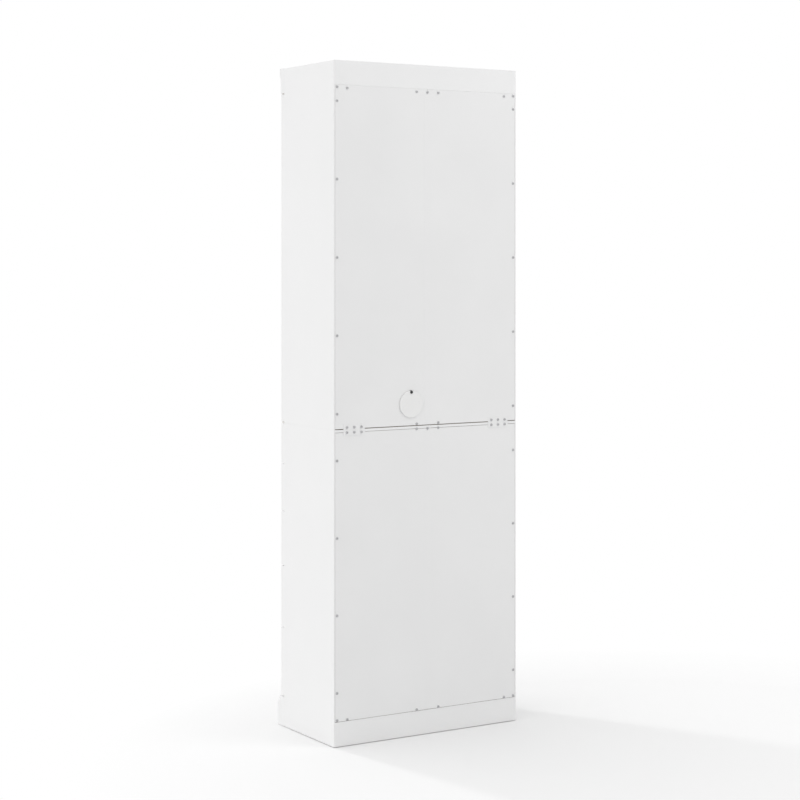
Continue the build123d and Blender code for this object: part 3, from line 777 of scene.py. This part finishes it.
class ARMOIRE_OT_strike_plates(bpy.types.Operator):
    """A steel strike plate on the back of each door, where its magnetic catch meets it"""
    bl_idname = "armoire.strike_plates"
    bl_label = "Strike plates"

    def execute(self, context):
        sizes = context.scene.armoire_fixings
        catch_low, catch_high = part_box("magnetic_catches")
        height = (catch_low.z + catch_high.z) / 2
        from_middle, corner, rim = 30 * MM, 2 * MM, 0.3 * MM
        dish_radius, dish_depth, dish_taper = 2.6 * MM, 0.9 * MM, 0.75
        for side, sign in (("left", -1), ("right", 1)):
            middle = sign * from_middle
            half_x, half_z = sizes.strike_length / 2, sizes.strike_height / 2
            plate = start_block(f"{side}_strike_plate", (middle - half_x, DOOR_REAR, height - half_z),
                                (middle + half_x, DOOR_REAR + sizes.strike_thickness, height + half_z))
            with editing():
                choose_edges(plate, lambda a, b: abs(a.y - b.y) > 0.5 * MM)
                bevel(corner, 5)
                choose_faces(plate, lambda normal: normal.y > 0.9)
                bevel(rim, 2)
            dish_middle = (middle, DOOR_REAR + sizes.strike_thickness, height)
            dish = start_disc("dish_model", dish_radius, dish_depth, dish_middle, FACING_REAR, 20)
            with editing():
                choose_faces(dish, lambda normal: normal.y < -0.9)
                bpy.ops.transform.resize(value=(dish_taper, 1.0, dish_taper), center_override=dish_middle)
            cut_away(plate, dish)
            settle(plate, f"{side}_door", "zinc_screw", 25.0)
        return {"FINISHED"}


class ARMOIRE_OT_bumpers(bpy.types.Operator):
    """Soft stick-on bumpers on the case, behind the doors and the drawer fronts"""
    bl_idname = "armoire.bumpers"
    bl_label = "Bumpers"

    def execute(self, context):
        sizes = context.scene.armoire_fixings
        from_middle, from_seam, from_edge = 20 * MM, 6 * MM, 8 * MM
        places = both_sides([(from_middle, SEAM + from_seam)])
        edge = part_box("lower_right_side")[1].x - from_edge
        for number in DRAWERS:
            low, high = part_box(f"drawer_{number}_front")
            places += both_sides([(edge, (low.z + high.z) / 2)])
        bumper = start_disc("bumper_model", sizes.bumper_radius, sizes.bumper_height,
                            (0.0, -sizes.bumper_height / 2, 0.0), FACING_REAR)
        with editing():
            choose_faces(bumper, lambda normal: normal.y < -0.9)
            bevel(sizes.bumper_height * 0.8, 5)
        seats = [(x, CASE_FRONT, z) for x, z in places]
        bumpers = repeat("front_bumpers", bumper, seats, [0.0] * len(seats))
        settle(bumpers, "case", "white_plastic")
        return {"FINISHED"}


class ARMOIRE_OT_ring_rolls(bpy.types.Operator):
    """Padded velvet ring rolls on their covered board, in the top drawer"""
    bl_idname = "armoire.ring_rolls"
    bl_label = "Ring rolls"

    def execute(self, context):
        sizes = context.scene.armoire_linings
        low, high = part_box("ring_roll_pad")
        base = start_block("ring_roll_base", low, (high.x, high.y, low.z + sizes.roll_base))
        with editing():
            choose_faces(base, lambda normal: normal.z > 0.9)
            bevel(sizes.roll_base * 0.6, 3)
        settle(base, "drawer_1", "velvet")

        pitch = (high.y - low.y) / sizes.roll_count
        seat = low.z + sizes.roll_base
        end_play = 2 * MM
        roll = self.new_roll(context, high.x - low.x - 2 * end_play, pitch, high.z - seat)
        for number in range(sizes.roll_count):
            copy = roll.copy()
            copy.data = roll.data.copy()
            copy.name = copy.data.name = f"ring_roll_{number + 1}"
            context.scene.collection.objects.link(copy)
            copy.location = ((low.x + high.x) / 2, low.y + pitch * (number + 0.5), seat)
            settle(copy, "drawer_1", "velvet", 60.0)
            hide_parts("ring_roll_pad")
        bpy.data.objects.remove(roll)
        return {"FINISHED"}

    def new_roll(self, context, span, width, height):
        """One roll along X on Z = 0, stuffed by a short cloth simulation, then flattened where it rests."""
        fullness, growth, play, grid, lift = 0.44, 3 * MM, 0.2 * MM, 4.5 * MM, 2.5 * MM
        radius_y, radius_z = width * fullness, height * fullness
        roll = start_disc("roll_model", radius_z, span - growth, (0.0, 0.0, height / 2),
                          (0.0, math.pi / 2, 0.0), 28)
        roll.scale = (1.0, radius_y / radius_z, 1.0)
        alone(roll)
        bpy.ops.object.transform_apply(location=True, rotation=True, scale=True)
        with editing():
            choose_faces(roll, lambda normal: abs(normal.x) > 0.9)
            bevel(radius_y * 0.5, 4)
        roll.data.remesh_voxel_size = grid
        bpy.ops.object.voxel_remesh()
        self.stuff(context, roll, lift)
        half_x, half_y = span / 2, width / 2 - play
        for point in roll.data.vertices:
            point.co.x = max(-half_x, min(half_x, point.co.x))
            point.co.y = max(-half_y, min(half_y, point.co.y))
            point.co.z = max(0.0, min(height - play, point.co.z))
        apply_modifier(roll, "SUBSURF", levels=1, render_levels=1)
        return roll

    def stuff(self, context, roll, limit):
        """Blows the roll up a little as stuffing does, with no point moved further than the limit."""
        rest = [point.co.copy() for point in roll.data.vertices]
        cloth = roll.modifiers.new("Stuffing", "CLOTH")
        cloth.settings.use_pressure = True
        cloth.settings.uniform_pressure_force = 4.0
        cloth.settings.effector_weights.gravity = 0.0
        frames = range(1, 21)
        cloth.point_cache.frame_start, cloth.point_cache.frame_end = frames[0], frames[-1]
        for step in frames:
            context.scene.frame_set(step)
        bpy.ops.object.modifier_apply(modifier=cloth.name)
        context.scene.frame_set(frames[0])
        for point, was in zip(roll.data.vertices, rest):
            moved = point.co - was
            if moved.length > limit:
                point.co = was + moved.normalized() * limit


class ARMOIRE_OT_lining_boards(bpy.types.Operator):
    """Lift-out velvet boards with a finger notch, on the floors of the three lower drawers"""
    bl_idname = "armoire.lining_boards"
    bl_label = "Lining boards"

    def execute(self, context):
        sizes = context.scene.armoire_linings
        low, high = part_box("ring_roll_pad")
        box_floor, pad_play, corner, notch_rim, notch_height = 5 * MM, 1 * MM, 4 * MM, 1 * MM, 20 * MM
        inset = sizes.board_play - pad_play
        for number in LINED_DRAWERS:
            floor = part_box(f"drawer_{number}_box")[0].z + box_floor
            board = start_block(f"drawer_{number}_lining", (low.x + inset, low.y + inset, floor),
                                (high.x - inset, high.y - inset, floor + sizes.board_thickness))
            with editing():
                choose_edges(board, lambda a, b: abs(a.z - b.z) > 1 * MM)
                bevel(corner, 5)
                choose_faces(board, lambda normal: normal.z > 0.9)
                bevel(sizes.board_thickness * 0.5, 3)
            notch = start_disc("notch_model", sizes.notch_radius, notch_height,
                               (0.0, low.y + inset, floor), sides=40)
            with editing():
                choose_faces(notch, lambda normal: normal.z > 0.9)
                bevel(notch_rim, 2)
            cut_away(board, notch)
            settle(board, f"drawer_{number}", "velvet")
        return {"FINISHED"}


class ARMOIRE_OT_tray(bpy.types.Operator):
    """The flocked tray of small compartments, with its edges rounded as a moulded tray has them"""
    bl_idname = "armoire.tray"
    bl_label = "Compartment tray"

    def execute(self, context):
        sizes = context.scene.armoire_linings
        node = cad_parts["compartment_tray"]
        tray = bpy.data.objects.new("flocked_compartment_tray", node.data.copy())
        context.scene.collection.objects.link(tray)
        alone(tray)
        with editing():
            bpy.ops.mesh.select_all(action="SELECT")
            bpy.ops.mesh.remove_doubles(threshold=0.01 * MM)
            bpy.ops.mesh.dissolve_limited(angle_limit=math.radians(1))
        apply_modifier(tray, "BEVEL", width=sizes.tray_rounding, segments=3, limit_method="ANGLE",
                       angle_limit=math.radians(40), use_clamp_overlap=True)
        settle(tray, "drawer_2", "flocked_tray")
        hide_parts("compartment_tray")
        return {"FINISHED"}


class ARMOIRE_OT_stage(bpy.types.Operator):
    """Studio floor, lamps, surroundings and camera"""
    bl_idname = "armoire.stage"
    bl_label = "Stage"

    def execute(self, context):
        studio = context.scene.armoire_studio
        self.make_floor(studio)
        self.make_world(context.scene, studio)
        self.make_lamp("key_lamp", studio.key_place, studio.key_aim, studio.key_power, studio.key_size)
        self.make_lamp("back_lamp", studio.back_place, studio.back_aim, studio.back_power, studio.back_size)
        bpy.ops.object.select_all(action="DESELECT")
        bpy.ops.object.camera_add(location=studio.camera_place,
                                  rotation=(math.pi / 2, 0.0, studio.camera_turn))
        camera = bpy.context.object
        camera.name = "camera"
        camera.data.lens = studio.lens
        camera.data.sensor_width = 36.0
        camera.data.shift_y = studio.rise
        camera.data.clip_end = 200.0
        context.scene.camera = camera
        context.scene.view_settings.view_transform = "Standard"
        return {"FINISHED"}

    def make_floor(self, studio):
        bpy.ops.object.select_all(action="DESELECT")
        bpy.ops.mesh.primitive_plane_add(size=studio.floor_size)
        floor = bpy.context.object
        floor.name = "studio_floor"
        material = bpy.data.materials.new("studio_floor")
        material.use_nodes = True
        tree = material.node_tree
        tree.nodes.clear()
        paper = noise(tree, place(tree), 3.0, detail=3.0)
        tint = blend_colours(tree, spread(tree, paper, 0.3, 0.7, 0.0, 1.0), studio.floor,
                             tuple(0.995 * c for c in studio.floor))
        matt = add(tree, "BsdfDiffuse", {"Color": tint}).outputs[0]
        white = add(tree, "Emission", {"Color": (1.0, 1.0, 1.0, 1.0), "Strength": 1.0}).outputs[0]
        reach = add(tree, "VectorMath", {0: place(tree), 1: studio.fade_middle},
                    operation="DISTANCE").outputs["Value"]
        fade = spread(tree, reach, studio.fade_start, studio.fade_end, 0.0, 1.0)
        shown_white = math_node(tree, "MULTIPLY", fade, self.seen(tree))
        both = add(tree, "MixShader", {0: shown_white, 1: matt, 2: white})
        add(tree, "OutputMaterial", {"Surface": both.outputs[0]})
        floor.data.materials.append(material)

    def make_world(self, scene, studio):
        scene.world = bpy.data.worlds.new("studio")
        scene.world.use_nodes = True
        tree = scene.world.node_tree
        tree.nodes.clear()
        lean = add(tree, "VectorMath", {0: add(tree, "TexCoord").outputs["Generated"], 1: studio.lean},
                   operation="DOT_PRODUCT").outputs["Value"]
        strength = math_node(tree, "MULTIPLY", math_node(tree, "ADD", lean, 1.0), studio.ambient)
        light = add(tree, "Background", {"Color": (1.0, 1.0, 1.0, 1.0), "Strength": strength}).outputs[0]
        white = add(tree, "Background", {"Color": (1.0, 1.0, 1.0, 1.0), "Strength": 1.0}).outputs[0]
        both = add(tree, "MixShader", {0: self.seen(tree), 1: light, 2: white})
        add(tree, "OutputWorld", {"Surface": both.outputs[0]})

    def seen(self, tree):
        """1 for what the camera sees, straight or in metal and glass."""
        path = add(tree, "LightPath").outputs
        mirrored = math_node(tree, "MAXIMUM", path["Is Glossy Ray"], path["Is Transmission Ray"])
        return math_node(tree, "MAXIMUM", path["Is Camera Ray"], mirrored)

    def make_lamp(self, name, stand, aim_height, watts, size):
        """A round lamp that points at the armoire's middle, at the given height."""
        stand = Vector(stand)
        turn = (Vector((0.0, 0.0, aim_height)) - stand).to_track_quat("-Z", "Y").to_euler()
        bpy.ops.object.select_all(action="DESELECT")
        bpy.ops.object.light_add(type="AREA", location=stand, rotation=turn)
        lamp = bpy.context.object
        lamp.name = name
        lamp.data.shape = "DISK"
        lamp.data.size = size
        lamp.data.energy = watts


class ARMOIRE_PT_panel(bpy.types.Panel):
    """Lists the armoire's steps in the order they are made, and the settings they read"""
    bl_label = "Jewelry Armoire"
    bl_idname = "ARMOIRE_PT_panel"
    bl_space_type = "VIEW_3D"
    bl_region_type = "UI"
    bl_category = "Armoire"

    def draw(self, context):
        for step in STEPS:
            self.layout.operator(step.bl_idname)
        for group in GROUPS:
            settings = getattr(context.scene, group)
            column = self.layout.column()
            for name in settings.bl_rna.properties.keys():
                if name not in ("rna_type", "name"):
                    column.prop(settings, name)


STEPS = (ARMOIRE_OT_finishes, ARMOIRE_OT_screws, ARMOIRE_OT_fold_tape, ARMOIRE_OT_strike_plates,
         ARMOIRE_OT_bumpers, ARMOIRE_OT_ring_rolls, ARMOIRE_OT_lining_boards, ARMOIRE_OT_tray,
         ARMOIRE_OT_stage)
GROUPS = {"armoire_finishes": ArmoireFinishes, "armoire_fixings": ArmoireFixings,
          "armoire_linings": ArmoireLinings, "armoire_studio": ArmoireStudio}
CLASSES = (*GROUPS.values(), *STEPS, ARMOIRE_PT_panel)


def register():
    for cls in CLASSES:
        bpy.utils.register_class(cls)
    for name, group in GROUPS.items():
        setattr(bpy.types.Scene, name, PointerProperty(type=group))


def unregister():
    for name in GROUPS:
        delattr(bpy.types.Scene, name)
    for cls in reversed(CLASSES):
        bpy.utils.unregister_class(cls)


def main():
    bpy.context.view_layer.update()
    register()
    bpy.ops.armoire.finishes()
    bpy.ops.armoire.screws()
    bpy.ops.armoire.fold_tape()
    bpy.ops.armoire.strike_plates()
    bpy.ops.armoire.bumpers()
    bpy.ops.armoire.ring_rolls()
    bpy.ops.armoire.lining_boards()
    bpy.ops.armoire.tray()
    bpy.ops.armoire.stage()


if __name__ == "__main__":
    main()
